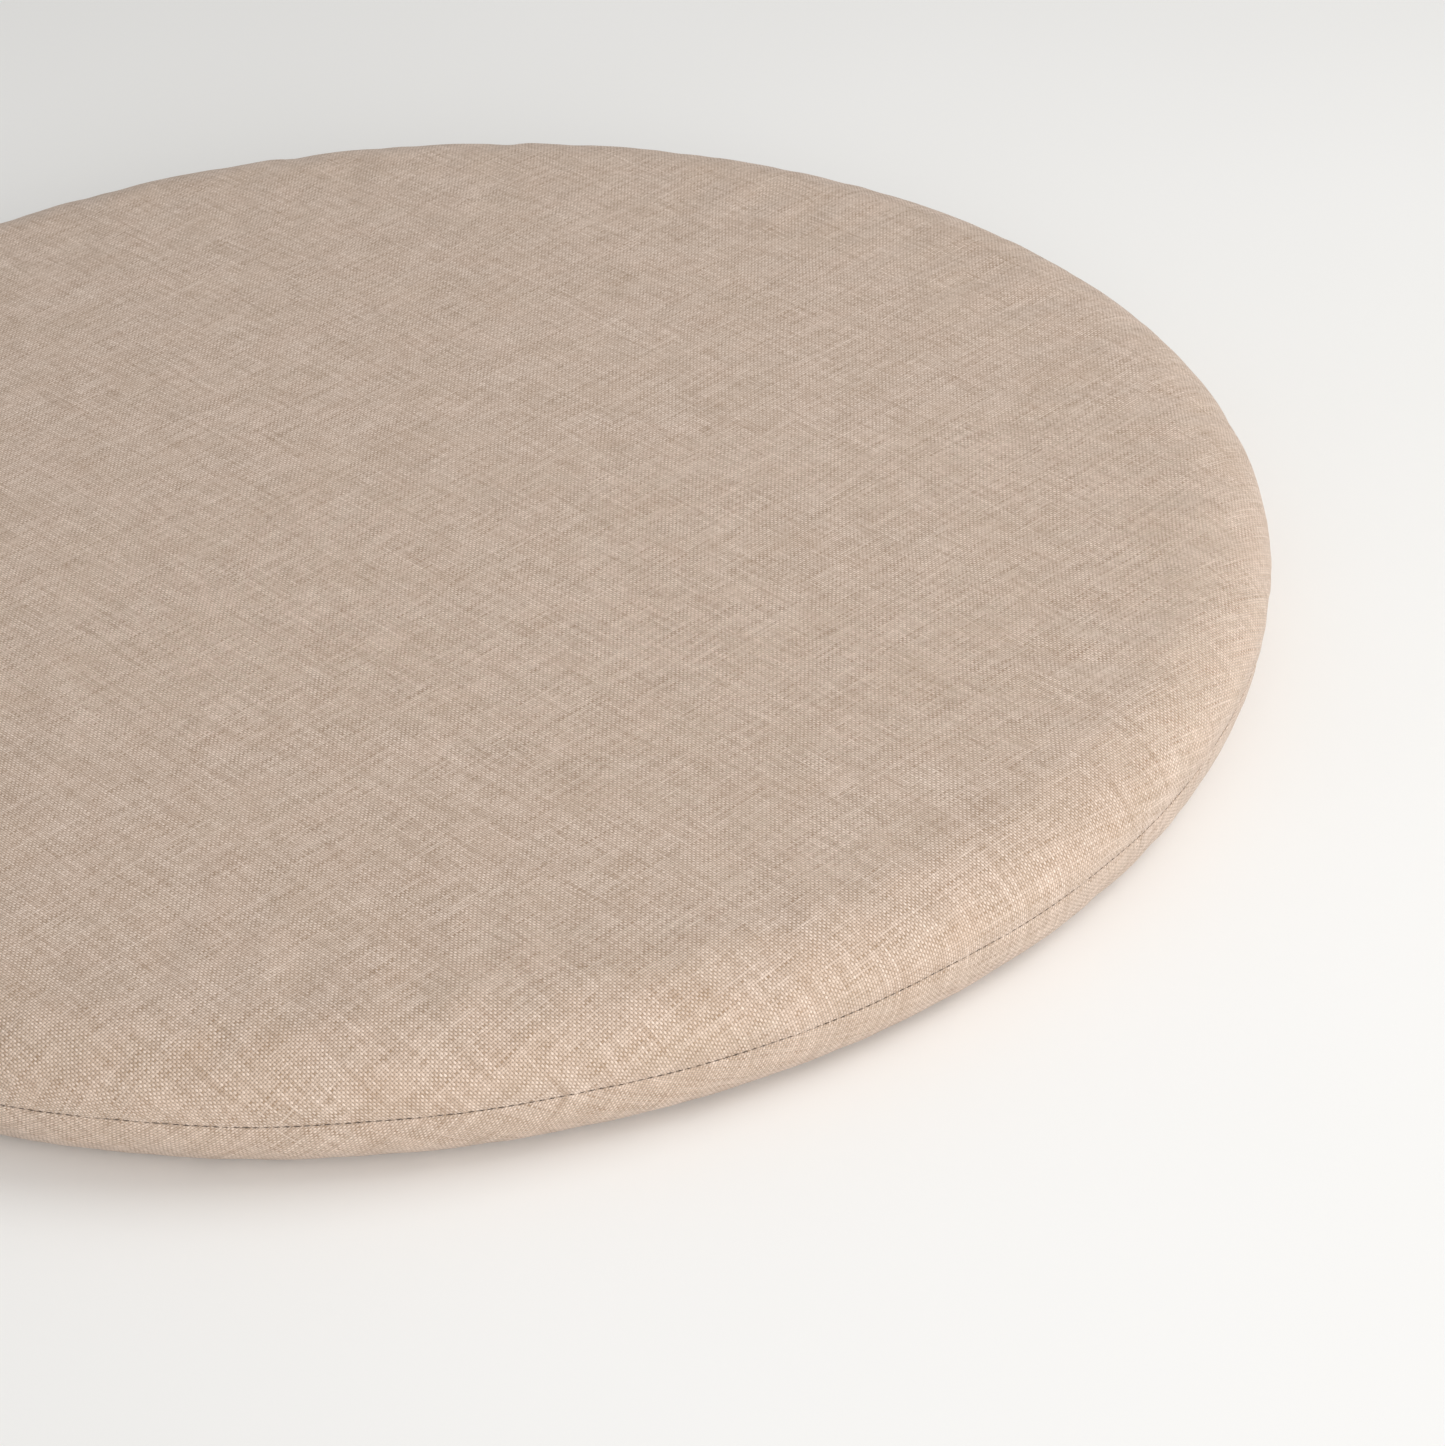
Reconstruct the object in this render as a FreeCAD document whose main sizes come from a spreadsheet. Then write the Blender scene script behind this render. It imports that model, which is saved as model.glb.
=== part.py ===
import FreeCAD, Part
import math
import os

import Sketcher

# Round chair seat pad, in millimetres: a fabric cover with a zip, over a lined foam insert.
# The origin is the centre of the underside. +Z is up, -Y is the front, and the zip is at the rear.
# The rim is a half circle in section, and the side seam runs round it at its widest height.
SIZES = (
    ("pad_radius", 320.0),          # outside of the cover at the side seam
    ("edge_radius", 24.0),          # rounding of the rim, and the height of the side seam
    ("crown_rise", 3.5),            # middle of the top above the end of the rounding
    ("cloth", 0.8),                 # thickness of the cover's fabric
    ("allowance", 6.0),             # seam allowance that each panel turns in
    ("seam_notch", 1.0),            # depth of the crease along the side seam
    ("thread_radius", 0.25),
    ("seam_thread_radius", 0.35),
    ("rim_gap", 6.5),               # room for the allowances and the zip, between cover and insert
    ("cover_ease", 1.8),            # play of the cover above the insert, on the top and the rounding
    ("layer_gap", 0.1),             # between one layer and the next
    ("liner", 0.3),                 # thickness of the insert's lining
    ("wadding", 6.0),               # thickness of the wadding round the foam
    ("zip_opening_arc", 96.0),      # degrees of the rim that the zip's slot takes
    ("zip_slot_half", 5.2),         # half the height of the slot
    ("tape_arc", 99.0),
    ("tape_setback", 0.9),          # outside of the tape below the outside of the cover
    ("tape", 0.6),                  # thickness of the tape
    ("tape_inner_angle", 2.2),      # edges of each tape, in degrees round the rim's section
    ("tape_outer_angle", 33.0),
    ("coil_arc", 92.6),
    ("coil_inner", 0.1),            # half the split between the two coil rows
    ("coil_outer", 2.6),
    ("coil_proud", 0.9),            # coil above the outside of the cover
    ("tack_arc", 94.8),             # degrees between the two end tacks
    ("tack_width", 1.6),
    ("tack_half_height", 4.6),
    ("tack_proud", 1.3),
    ("stitch_angle", 17.5),         # row of topstitching, in degrees round the rim's section
    ("stitch_arc", 97.0),
    ("slider_travel", 92.0),        # degrees that the slider runs round the pad
    ("slider_length", 11.0),
    ("slider_nose", 6.4),           # width of the slider at its narrow end
    ("slider_width", 8.4),
    ("slider_plate", 1.1),
    ("slider_back_plate", 0.9),
    ("slider_front", 1.2),          # inside of the front plate, from the outside of the cover
    ("slider_back", -3.2),          # outside of the back plate
    ("flange_width", 1.0),
    ("flange_reach", 1.8),          # depth of the flanges that guide the tapes
    ("post_start", 2.2),            # wedge that parts the coils, from the slider's middle
    ("post_end", 4.6),
    ("post_width", 1.0),
    ("crown_length", 6.8),          # loop on the slider that holds the pull tab
    ("crown_opening", 4.4),
    ("crown_height", 3.0),
    ("crown_inside", 2.0),
    ("crown_width", 1.8),
    ("tab_pivot", 3.3),             # pull tab's cross bar, from the outside of the cover
    ("tab_thickness", 1.2),
    ("tab_length", 26.0),
    ("tab_eye_width", 5.2),
    ("tab_tip_width", 6.8),
    ("tab_tip_radius", 3.6),        # rounding of the tab's free end
    ("tab_window_end", 5.0),
    ("tab_window_width", 2.8),
    ("tab_round", 0.3),             # rounding of the tab's edges
    ("label_azimuth", 31.0),        # where the care label hangs from the seam
    ("label_arc", 4.0),
    ("label_thickness", 0.35),
    ("label_top_angle", 3.0),
    ("label_end_angle", 62.0),
)

REAR = 90.0                         # azimuth of the middle of the zip, in degrees
UP = FreeCAD.Vector(0, 0, 1)

doc = FreeCAD.newDocument("seat_pad")
sheet = doc.addObject("Spreadsheet::Sheet", "Size")
for row, (alias, value) in enumerate(SIZES, start=1):
    sheet.set(f"A{row}", alias)
    sheet.set(f"B{row}", str(value))
    sheet.setAlias(f"B{row}", alias)
doc.recompute()

# Places that several pieces share, as rules for the expression engine.
RIM_CENTRE = "Size.pad_radius - Size.edge_radius"
SEAM_HEIGHT = "Size.edge_radius"
TOP_EDGE = "2 * Size.edge_radius"
TOP_MIDDLE = "2 * Size.edge_radius + Size.crown_rise"

# The insert's outside, and the depth of each of its layers below that.
INSERT_RADIUS = "Size.pad_radius - Size.rim_gap - Size.cloth"
INSERT_BOTTOM = "Size.cloth"
INSERT_TOP = f"{TOP_EDGE} - Size.cloth - Size.cover_ease"
INSERT_MIDDLE = f"{TOP_MIDDLE} - Size.cloth - Size.cover_ease"
LOWER_ROUNDING = f"{SEAM_HEIGHT} - {INSERT_BOTTOM}"
UPPER_ROUNDING = f"{SEAM_HEIGHT} - Size.cloth - Size.cover_ease"
LINER_OUT = "Size.layer_gap"
WADDING_OUT = f"{LINER_OUT} + Size.liner + Size.layer_gap"
FOAM_OUT = f"{WADDING_OUT} + Size.wadding + Size.layer_gap"

pieces = []


def piece(kind, name):
    """A new sub-part whose Label names its file."""
    new = doc.addObject(kind, name)
    new.Label = name
    pieces.append(new)
    return new


def plane(body, role):
    """One of the body's own origin planes, such as XZ_Plane."""
    return next(item for item in body.Origin.OriginFeatures if item.Role == role)


def arc_geometry(first, last, radius, turn):
    """The arc of that radius from first to last, counter-clockwise when turn is 1."""
    chord = last - first
    middle = (first + last) * 0.5
    left = FreeCAD.Vector(-chord.y, chord.x, 0).normalize()
    to_centre = math.sqrt(max(0.0, radius ** 2 - (chord.Length / 2) ** 2))
    centre = middle + left * turn * to_centre
    low, high = (first, last) if turn > 0 else (last, first)
    start = math.atan2(low.y - centre.y, low.x - centre.x)
    end = math.atan2(high.y - centre.y, high.x - centre.x)
    return Part.ArcOfCircle(Part.Circle(centre, UP, radius), start, end)


def radius_about_axis(first, last):
    """Radius of the arc through both points whose centre is on the vertical axis."""
    height = (last.Length ** 2 - first.Length ** 2) / (2 * (last.y - first.y))
    return first.distanceToPoint(FreeCAD.Vector(0, height, 0))


def profile(body, name, role, corners, arcs=None, offset=None):
    """A closed sketch. Each corner is a pair of rules, and arcs holds {edge: (radius rule, turn)}.

    An arc with no radius rule has its centre on the vertical axis.
    """
    arcs = arcs or {}
    sketch = body.newObject("Sketcher::SketchObject", name)
    sketch.AttachmentSupport = [(plane(body, role), "")]
    sketch.MapMode = "FlatFace"
    if offset:
        sketch.setExpression("AttachmentOffset.Base.z", offset)
    points = [FreeCAD.Vector(*(float(sketch.evalExpression(rule)) for rule in corner)) for corner in corners]
    ends = []
    for edge, first in enumerate(points):
        last = points[(edge + 1) % len(points)]
        if edge in arcs:
            rule, turn = arcs[edge]
            radius = float(sketch.evalExpression(rule)) if rule else radius_about_axis(first, last)
            sketch.addGeometry(arc_geometry(first, last, radius, turn))
            ends.append((1, 2) if turn > 0 else (2, 1))
        else:
            sketch.addGeometry(Part.LineSegment(first, last))
            ends.append((1, 2))
    for edge in range(len(points)):
        following = (edge + 1) % len(points)
        joined = Sketcher.Constraint("Coincident", edge, ends[edge][1], following, ends[following][0])
        sketch.addConstraint(joined)
    for edge, (point, rules) in enumerate(zip(points, corners)):
        for direction, axis, along, rule in (("X", -2, point.x, rules[0]), ("Y", -1, point.y, rules[1])):
            if rule == "0":
                sketch.addConstraint(Sketcher.Constraint("PointOnObject", edge, ends[edge][0], axis))
                continue
            distance = Sketcher.Constraint(f"Distance{direction}", -1, 1, edge, ends[edge][0], along)
            number = sketch.addConstraint(distance)
            sketch.renameConstraint(number, f"corner_{edge}_{direction.lower()}")
            sketch.setExpression(f"Constraints.corner_{edge}_{direction.lower()}", rule)
    for edge, (rule, turn) in arcs.items():
        if not rule:
            sketch.addConstraint(Sketcher.Constraint("PointOnObject", edge, 3, -2))
            continue
        radius = Sketcher.Constraint("Radius", edge, float(sketch.evalExpression(rule)))
        number = sketch.addConstraint(radius)
        sketch.renameConstraint(number, f"arc_{edge}_radius")
        sketch.setExpression(f"Constraints.arc_{edge}_radius", rule)
    return sketch


def turned(body, name, sketch, kind="Revolution", arc=None):
    """Turns the sketch about the pad's axis, all the way or an arc to both sides of the sketch."""
    turn = body.newObject(f"PartDesign::{kind}", name)
    turn.Profile = sketch
    turn.ReferenceAxis = (sketch, ["V_Axis"])
    turn.Angle = 360.0
    if arc:
        turn.Midplane = True
        turn.setExpression("Angle", arc)
    return turn


def padded_out(body, name, sketch, length, midplane=False):
    """Pads the sketch by the length rule, along its normal or to both sides."""
    pad = body.newObject("PartDesign::Pad", name)
    pad.Profile = sketch
    pad.Midplane = midplane
    pad.setExpression("Length", length)
    return pad


def facing(azimuth):
    """Turns a piece that was made on +X round to that azimuth."""
    return FreeCAD.Placement(FreeCAD.Vector(0, 0, 0), FreeCAD.Rotation(UP, azimuth))


def layer(name, outside, thickness, upper):
    """Half of one of the insert's layers, by the depth of its outside and its thickness."""
    body = piece("PartDesign::Body", name)
    inside = f"{outside} + {thickness}"
    rounding = UPPER_ROUNDING if upper else LOWER_ROUNDING
    rim = f"{INSERT_RADIUS} - ({rounding})"
    if upper:
        flat = [("0", f"{INSERT_MIDDLE} - ({inside})"), ("0", f"{INSERT_MIDDLE} - ({outside})")]
        edge_out, edge_in = f"{INSERT_TOP} - ({outside})", f"{INSERT_TOP} - ({inside})"
        turn = -1
    else:
        flat = [("0", f"{INSERT_BOTTOM} + {inside}"), ("0", f"{INSERT_BOTTOM} + {outside}")]
        edge_out, edge_in = f"{INSERT_BOTTOM} + {outside}", f"{INSERT_BOTTOM} + {inside}"
        turn = 1
    edge = [
        (rim, edge_out),
        (f"{INSERT_RADIUS} - ({outside})", SEAM_HEIGHT),
        (f"{INSERT_RADIUS} - ({inside})", SEAM_HEIGHT),
        (rim, edge_in),
    ]
    arcs = {2: (f"{rounding} - ({outside})", turn), 4: (f"{rounding} - ({inside})", -turn)}
    if upper:
        arcs.update({1: (None, -1), 5: (None, 1)})
    turned(body, f"{name}_shell", profile(body, f"{name}_section", "XZ_Plane", flat + edge, arcs))
    return body


def cover_panel(name, upper):
    """One panel of the cover: its shell, the allowance turned in at the seam, and the zip's slot."""
    body = piece("PartDesign::Body", name)
    side = "+" if upper else "-"
    inner_edge = "Size.pad_radius - Size.cloth - Size.allowance"
    turned_in = [
        ("Size.pad_radius", SEAM_HEIGHT),
        (inner_edge, SEAM_HEIGHT),
        (inner_edge, f"{SEAM_HEIGHT} {side} Size.cloth"),
        ("Size.pad_radius - Size.cloth", f"{SEAM_HEIGHT} {side} Size.cloth"),
    ]
    if upper:
        flat = [("0", f"{TOP_MIDDLE} - Size.cloth"), ("0", TOP_MIDDLE), (RIM_CENTRE, TOP_EDGE)]
        last = [(RIM_CENTRE, f"{TOP_EDGE} - Size.cloth")]
        arcs = {
            1: (None, -1),
            2: ("Size.edge_radius", -1),
            6: ("Size.edge_radius - Size.cloth", 1),
            7: (None, 1),
        }
    else:
        flat = [("0", "Size.cloth"), ("0", "0"), (RIM_CENTRE, "0")]
        last = [(RIM_CENTRE, "Size.cloth")]
        arcs = {2: ("Size.edge_radius", 1), 6: ("Size.edge_radius - Size.cloth", -1)}
    section = profile(body, f"{name}_section", "XZ_Plane", flat + turned_in + last, arcs)
    turned(body, f"{name}_shell", section)

    crease = [
        ("Size.pad_radius - Size.seam_notch", SEAM_HEIGHT),
        ("Size.pad_radius + Size.seam_notch", f"{SEAM_HEIGHT} - 2 * Size.seam_notch"),
        ("Size.pad_radius + Size.seam_notch", f"{SEAM_HEIGHT} + 2 * Size.seam_notch"),
    ]
    turned(body, f"{name}_crease", profile(body, f"{name}_crease_section", "XZ_Plane", crease), "Groove")

    slot_in = "Size.pad_radius - Size.rim_gap - Size.cloth"
    slot_out = "Size.pad_radius + Size.cloth"
    slot_low = f"{SEAM_HEIGHT} - Size.zip_slot_half"
    slot_high = f"{SEAM_HEIGHT} + Size.zip_slot_half"
    slot = [(slot_in, slot_low), (slot_out, slot_low), (slot_out, slot_high), (slot_in, slot_high)]
    slot_section = profile(body, f"{name}_slot_section", "XZ_Plane", slot)
    turned(body, f"{name}_slot", slot_section, "Groove", "Size.zip_opening_arc")
    body.Placement = facing(REAR)
    return body


def rim_strip(name, outer, inner, start, end, arc, azimuth):
    """A strip bent round the rim's section, between two radii and two angles of that section."""
    body = piece("PartDesign::Body", name)

    def around(radius, angle):
        across = f"{RIM_CENTRE} + ({radius}) * cos({angle})"
        height = f"{SEAM_HEIGHT} + ({radius}) * sin({angle})"
        return across, height

    corners = [around(outer, start), around(outer, end), around(inner, end), around(inner, start)]
    turn = 1 if float(body.evalExpression(f"({end}) - ({start})")) > 0 else -1
    section = profile(body, f"{name}_section", "XZ_Plane", corners, {0: (outer, turn), 2: (inner, -turn)})
    turned(body, f"{name}_strip", section, arc=arc)
    body.Placement = facing(azimuth)
    return body


def zip_coil(name, side):
    """One row of the zip's coil, as the plain ring that its turns fill."""
    body = piece("PartDesign::Body", name)
    low = "Size.pad_radius - Size.tape_setback + Size.layer_gap"
    high = "Size.pad_radius + Size.coil_proud"
    near = f"{SEAM_HEIGHT} {side} Size.coil_inner"
    far = f"{SEAM_HEIGHT} {side} Size.coil_outer"
    corners = [(low, near), (high, near), (high, far), (low, far)]
    section = profile(body, f"{name}_section", "XZ_Plane", corners)
    turned(body, f"{name}_row", section, arc="Size.coil_arc")
    body.Placement = facing(REAR)
    return body


def thread_ring(name, ring_radius, height, radius, arc, azimuth):
    """A run of sewing thread round the pad, an arc long on both sides of the azimuth."""
    thread = piece("Part::Torus", name)
    thread.setExpression("Radius1", ring_radius)
    thread.setExpression("Radius2", radius)
    thread.setExpression("Angle3", arc)
    span = float(thread.evalExpression(arc))
    thread.Placement = facing(azimuth - span / 2)
    thread.setExpression("Placement.Base.z", height)
    return thread


def end_tack(name, side):
    """A bar tack across one end of the zip."""
    tack = piece("Part::Box", name)
    tack.setExpression("Length", "Size.tape_setback - Size.layer_gap + Size.tack_proud")
    tack.setExpression("Width", "Size.tack_width")
    tack.setExpression("Height", "2 * Size.tack_half_height")
    inside = sheet.pad_radius - sheet.tape_setback + sheet.layer_gap
    corner = FreeCAD.Vector(inside, -sheet.tack_width / 2, sheet.edge_radius - sheet.tack_half_height)
    turn = facing(REAR + side * sheet.tack_arc / 2)
    tack.Placement = turn.multiply(FreeCAD.Placement(corner, FreeCAD.Rotation()))
    return tack


def at_slider_start():
    """Place on the zip's centre line where the slider rests, with X pointing out of the pad."""
    out = FreeCAD.Placement(FreeCAD.Vector(sheet.pad_radius, 0, sheet.edge_radius), FreeCAD.Rotation())
    return facing(REAR - sheet.slider_travel / 2).multiply(out)


def rectangle(left, right, low, high):
    return [(left, low), (right, low), (right, high), (left, high)]


def zip_slider():
    """Two plates joined by the wedge between the coils, with flanges and the loop for the tab."""
    body = piece("PartDesign::Body", "zip_slider")
    half = "Size.slider_length / 2"
    nose = "Size.slider_nose / 2"
    tail = "Size.slider_width / 2"
    outline = [
        (half, f"-({tail})"),
        ("-Size.post_start", f"-({tail})"),
        (f"-({half})", f"-({nose})"),
        (f"-({half})", nose),
        ("-Size.post_start", tail),
        (half, tail),
    ]
    front = profile(body, "front_outline", "YZ_Plane", outline, offset="Size.slider_front")
    padded_out(body, "front_plate", front, "Size.slider_plate")
    post = profile(
        body,
        "post_outline",
        "YZ_Plane",
        rectangle("-Size.post_end", "-Size.post_start", "-Size.post_width / 2", "Size.post_width / 2"),
        offset="Size.slider_back",
    )
    padded_out(body, "post", post, "Size.slider_front - Size.slider_back + Size.slider_plate / 2")
    back = profile(body, "back_outline", "YZ_Plane", outline, offset="Size.slider_back")
    padded_out(body, "back_plate", back, "Size.slider_back_plate")
    for side, sign in (("lower", "-"), ("upper", "")):
        near = f"{sign}(Size.slider_width / 2 - Size.flange_width)"
        far = f"{sign}Size.slider_width / 2"
        flange = profile(
            body,
            f"{side}_flange_outline",
            "YZ_Plane",
            rectangle("-Size.post_start", half, near, far),
            offset="Size.slider_front - Size.flange_reach",
        )
        padded_out(body, f"{side}_flange", flange, "Size.flange_reach + Size.slider_plate / 2")

    base = "Size.slider_front + Size.slider_plate / 2"
    floor = "Size.slider_front + Size.slider_plate"
    top = f"{floor} + Size.crown_height"
    inside = f"{floor} + Size.crown_inside"
    opening = "Size.crown_opening / 2"
    length = "Size.crown_length / 2"
    shoulder = f"{floor} + Size.crown_inside / 2"
    loop = [
        (base, f"-({length})"),
        (shoulder, f"-({length})"),
        (top, f"-({opening}) / 2"),
        (top, f"({opening}) / 2"),
        (shoulder, length),
        (base, length),
        (base, opening),
        (inside, opening),
        (inside, f"-({opening})"),
        (base, f"-({opening})"),
    ]
    padded_out(body, "loop", profile(body, "loop_outline", "XY_Plane", loop), "Size.crown_width", True)
    body.Placement = at_slider_start()
    return body


def rounded(body, name, radius, wanted):
    """Rounds the edges that the test picks on the body as it is so far."""
    doc.recompute()
    so_far = body.Tip
    edges = [f"Edge{number}" for number, edge in enumerate(so_far.Shape.Edges, start=1) if wanted(edge)]
    fillet = body.newObject("PartDesign::Fillet", name)
    fillet.Base = (so_far, edges)
    fillet.setExpression("Radius", radius)
    return fillet


def pull_tab():
    """The tab that hangs from the slider's loop by the round bar across its eye."""
    body = piece("PartDesign::Body", "zip_pull_tab")
    bar = "Size.tab_thickness / 2"
    eye = "Size.tab_eye_width / 2"
    tip = "Size.tab_tip_width / 2"
    neck = "Size.tab_window_end + Size.tab_thickness"
    outline = [
        ("0", f"-({eye})"),
        (neck, f"-({eye})"),
        (f"Size.tab_length - ({tip})", f"-({tip})"),
        (f"Size.tab_length - ({tip})", tip),
        (neck, eye),
        ("0", eye),
    ]
    plate = profile(body, "tab_outline", "YZ_Plane", outline, {2: ("Size.tab_tip_radius", 1)}, f"-({bar})")
    padded_out(body, "tab_plate", plate, "Size.tab_thickness")
    cross_bar = body.newObject("PartDesign::AdditiveCylinder", "cross_bar")
    cross_bar.setExpression("Radius", bar)
    cross_bar.setExpression("Height", "Size.tab_eye_width")
    cross_bar.setExpression("Placement.Base.z", f"-({eye})")
    window = profile(
        body,
        "window_outline",
        "YZ_Plane",
        rectangle(bar, "Size.tab_window_end", "-Size.tab_window_width / 2", "Size.tab_window_width / 2"),
        offset=bar,
    )
    cut = body.newObject("PartDesign::Pocket", "window")
    cut.Profile = window
    cut.Type = "ThroughAll"

    def on_outer_end(edge):
        return edge.BoundBox.YMin > sheet.tab_window_end and edge.BoundBox.XLength < sheet.tab_round

    rounded(body, "soft_edges", "Size.tab_round", on_outer_end)
    out = FreeCAD.Placement(FreeCAD.Vector(sheet.tab_pivot, 0, 0), FreeCAD.Rotation())
    body.Placement = at_slider_start().multiply(out)
    return body


cover_panel("cover_top_panel", True)
cover_panel("cover_bottom_panel", False)

thread_ring(
    "side_seam_thread",
    "Size.pad_radius - Size.seam_notch / 2 + Size.thread_radius / 4",
    SEAM_HEIGHT,
    "Size.seam_thread_radius",
    "360 - Size.zip_opening_arc",
    REAR + 180,
)

tape_out = "Size.edge_radius - Size.tape_setback"
tape_in = f"{tape_out} - Size.tape"
for side, sign in (("upper", ""), ("lower", "-")):
    first = f"{sign}Size.tape_inner_angle"
    last = f"{sign}Size.tape_outer_angle"
    rim_strip(f"zip_tape_{side}", tape_out, tape_in, first, last, "Size.tape_arc", REAR)
zip_coil("zip_coil_upper", "+")
zip_coil("zip_coil_lower", "-")
end_tack("zip_end_tack_right", -1)
end_tack("zip_end_tack_left", 1)
for side, sign in (("upper", "+"), ("lower", "-")):
    stitch_ring = f"{RIM_CENTRE} + (Size.edge_radius + Size.thread_radius) * cos(Size.stitch_angle)"
    stitch_height = f"{SEAM_HEIGHT} {sign} (Size.edge_radius + Size.thread_radius) * sin(Size.stitch_angle)"
    thread_ring(
        f"zip_topstitch_{side}", stitch_ring, stitch_height, "Size.thread_radius", "Size.stitch_arc", REAR
    )
zip_slider()
pull_tab()

label_in = "Size.edge_radius + Size.layer_gap"
rim_strip(
    "care_label",
    f"{label_in} + Size.label_thickness",
    label_in,
    "-Size.label_top_angle",
    "-Size.label_end_angle",
    "Size.label_arc",
    sheet.label_azimuth,
)

for half, upper in (("top", True), ("bottom", False)):
    layer(f"liner_{half}", LINER_OUT, "Size.liner", upper)
    layer(f"wadding_{half}", WADDING_OUT, "Size.wadding", upper)
thread_ring(
    "liner_seam_thread",
    f"{INSERT_RADIUS} + Size.thread_radius",
    SEAM_HEIGHT,
    "Size.thread_radius",
    "360",
    REAR,
)


def foam_core():
    """The foam disc, crowned on top like the cover."""
    body = piece("PartDesign::Body", "foam_core")
    corners = [
        ("0", f"{INSERT_BOTTOM} + {FOAM_OUT}"),
        (f"{INSERT_RADIUS} - ({LOWER_ROUNDING})", f"{INSERT_BOTTOM} + {FOAM_OUT}"),
        (f"{INSERT_RADIUS} - ({FOAM_OUT})", SEAM_HEIGHT),
        (f"{INSERT_RADIUS} - ({UPPER_ROUNDING})", f"{INSERT_TOP} - ({FOAM_OUT})"),
        ("0", f"{INSERT_MIDDLE} - ({FOAM_OUT})"),
    ]
    arcs = {
        1: (f"{LOWER_ROUNDING} - ({FOAM_OUT})", 1),
        2: (f"{UPPER_ROUNDING} - ({FOAM_OUT})", 1),
        3: (None, 1),
    }
    turned(body, "foam_disc", profile(body, "foam_section", "XZ_Plane", corners, arcs))
    return body


foam_core()

doc.recompute()
for item in doc.Objects:
    if "Invalid" in item.State or "Error" in item.State:
        raise RuntimeError(f"{item.Name} did not build: {item.State}")
for sub_part in pieces:
    shape = sub_part.Shape
    if shape.isNull() or not shape.isValid() or not shape.Solids:
        raise RuntimeError(f"{sub_part.Label} has no valid solid")

os.makedirs("parts", exist_ok=True)
for sub_part in pieces:
    shape = sub_part.Shape
    shape.exportStep(f"parts/{sub_part.Label}.step")
    box = shape.optimalBoundingBox()
    sides = f"{box.XLength:.1f} x {box.YLength:.1f} x {box.ZLength:.1f}"
    print(f"{sub_part.Label}: {len(shape.Solids)} solid, {shape.Volume:.1f} mm3, {sides} mm")
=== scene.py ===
import math

import bmesh
import bpy
import numpy as np
from mathutils import Matrix, Vector
from mathutils.kdtree import KDTree


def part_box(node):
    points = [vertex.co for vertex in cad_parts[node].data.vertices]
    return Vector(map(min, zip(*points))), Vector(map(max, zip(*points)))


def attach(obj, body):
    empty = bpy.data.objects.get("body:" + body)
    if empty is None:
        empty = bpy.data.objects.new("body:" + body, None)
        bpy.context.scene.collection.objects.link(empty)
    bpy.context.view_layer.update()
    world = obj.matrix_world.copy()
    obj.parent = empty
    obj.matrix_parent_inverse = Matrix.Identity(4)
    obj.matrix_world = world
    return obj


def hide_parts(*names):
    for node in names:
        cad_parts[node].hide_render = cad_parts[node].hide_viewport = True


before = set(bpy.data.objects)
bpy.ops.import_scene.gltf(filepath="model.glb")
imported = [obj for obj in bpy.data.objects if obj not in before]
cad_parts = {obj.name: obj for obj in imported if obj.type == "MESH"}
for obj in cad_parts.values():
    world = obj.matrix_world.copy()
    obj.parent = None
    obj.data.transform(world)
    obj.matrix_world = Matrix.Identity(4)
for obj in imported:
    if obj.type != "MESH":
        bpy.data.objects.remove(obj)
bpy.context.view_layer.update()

# A round seat pad in metres, in the frame of the CAD: the underside's centre is the origin, the front
# is -Y, and the zip is in the rear side. A place on the cover is given by its azimuth and by how far
# it lies from the side seam, measured along the cloth.

MM = 0.001
TAU = 2 * math.pi
ON_AXIS = 1e-6                      # a radius below this counts as none
NO_DISTANCE = 1e-9                  # and so does a distance below this
STEEP = 0.8                         # a direction with more than this of its length in Z
SEED = 7

# Sizes that the frame gives.
SEAM_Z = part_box("cover_top_panel")[0].z
TOP_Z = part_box("cover_top_panel")[1].z
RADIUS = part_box("cover_top_panel")[1].x
REAR = math.radians(90)
TACK = sum(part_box("zip_end_tack_right"), Vector()) / 2
ZIP_HALF_ARC = REAR - math.atan2(TACK.y, TACK.x)
ZIP_END_FADE = math.radians(1.5)    # over which the cover closes up past the zip's ends

# The section of the pad, which stands on z = 0.
CROWN = 3.5 * MM                    # rise of the middle above the end of the rounding
SHOULDER_WIDTH = 32 * MM            # how far in from the rim the top starts to round over
HEEL_WIDTH = 19 * MM                # how far in the underside does
RIM_Z = SEAM_Z + 5 * MM             # height of the widest place, a little above the seam
RISE_POINTS = 12                    # points of the section from the seam up to the widest place,
SHOULDER_POINTS = 60                # over the shoulder,
HEEL_POINTS = 40                    # round the heel
FLAT_POINTS = 80                    # and along each flat side

# The cloth of the cover.
CLOTH = 1.2 * MM                    # its thickness
ALLOWANCE = 5 * MM                  # what each panel turns in at the seam
LIP_GAP = 0.05 * MM                 # between the seam's line and each turned-in allowance

# The mesh of each panel: rings of points, which have the same number of points or half as many.
STITCHES = 640                      # stitches that would go round the whole seam
PER_STITCH = 4                      # points of the mesh to a stitch
COLUMNS = PER_STITCH * STITCHES
LEAST_COLUMNS = 40
NEAR_SPACING = 1.2 * MM             # of the points round a ring, among the puckers and further in
FAR_SPACING = 3 * MM
FIRST_RINGS = (0.15 * MM, 0.4 * MM, 0.8 * MM)   # the rings next to the seam
FIRST_STEP = 0.7 * MM
STEP_GROWTH = 1.09
LAST_STEP = 5 * MM
INNER_START = 6 * MM                # where the inside of the cloth starts
INNER_STEP = 8 * MM
INNER_COARSER = 3                   # how much coarser the inside is than the outside

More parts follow.
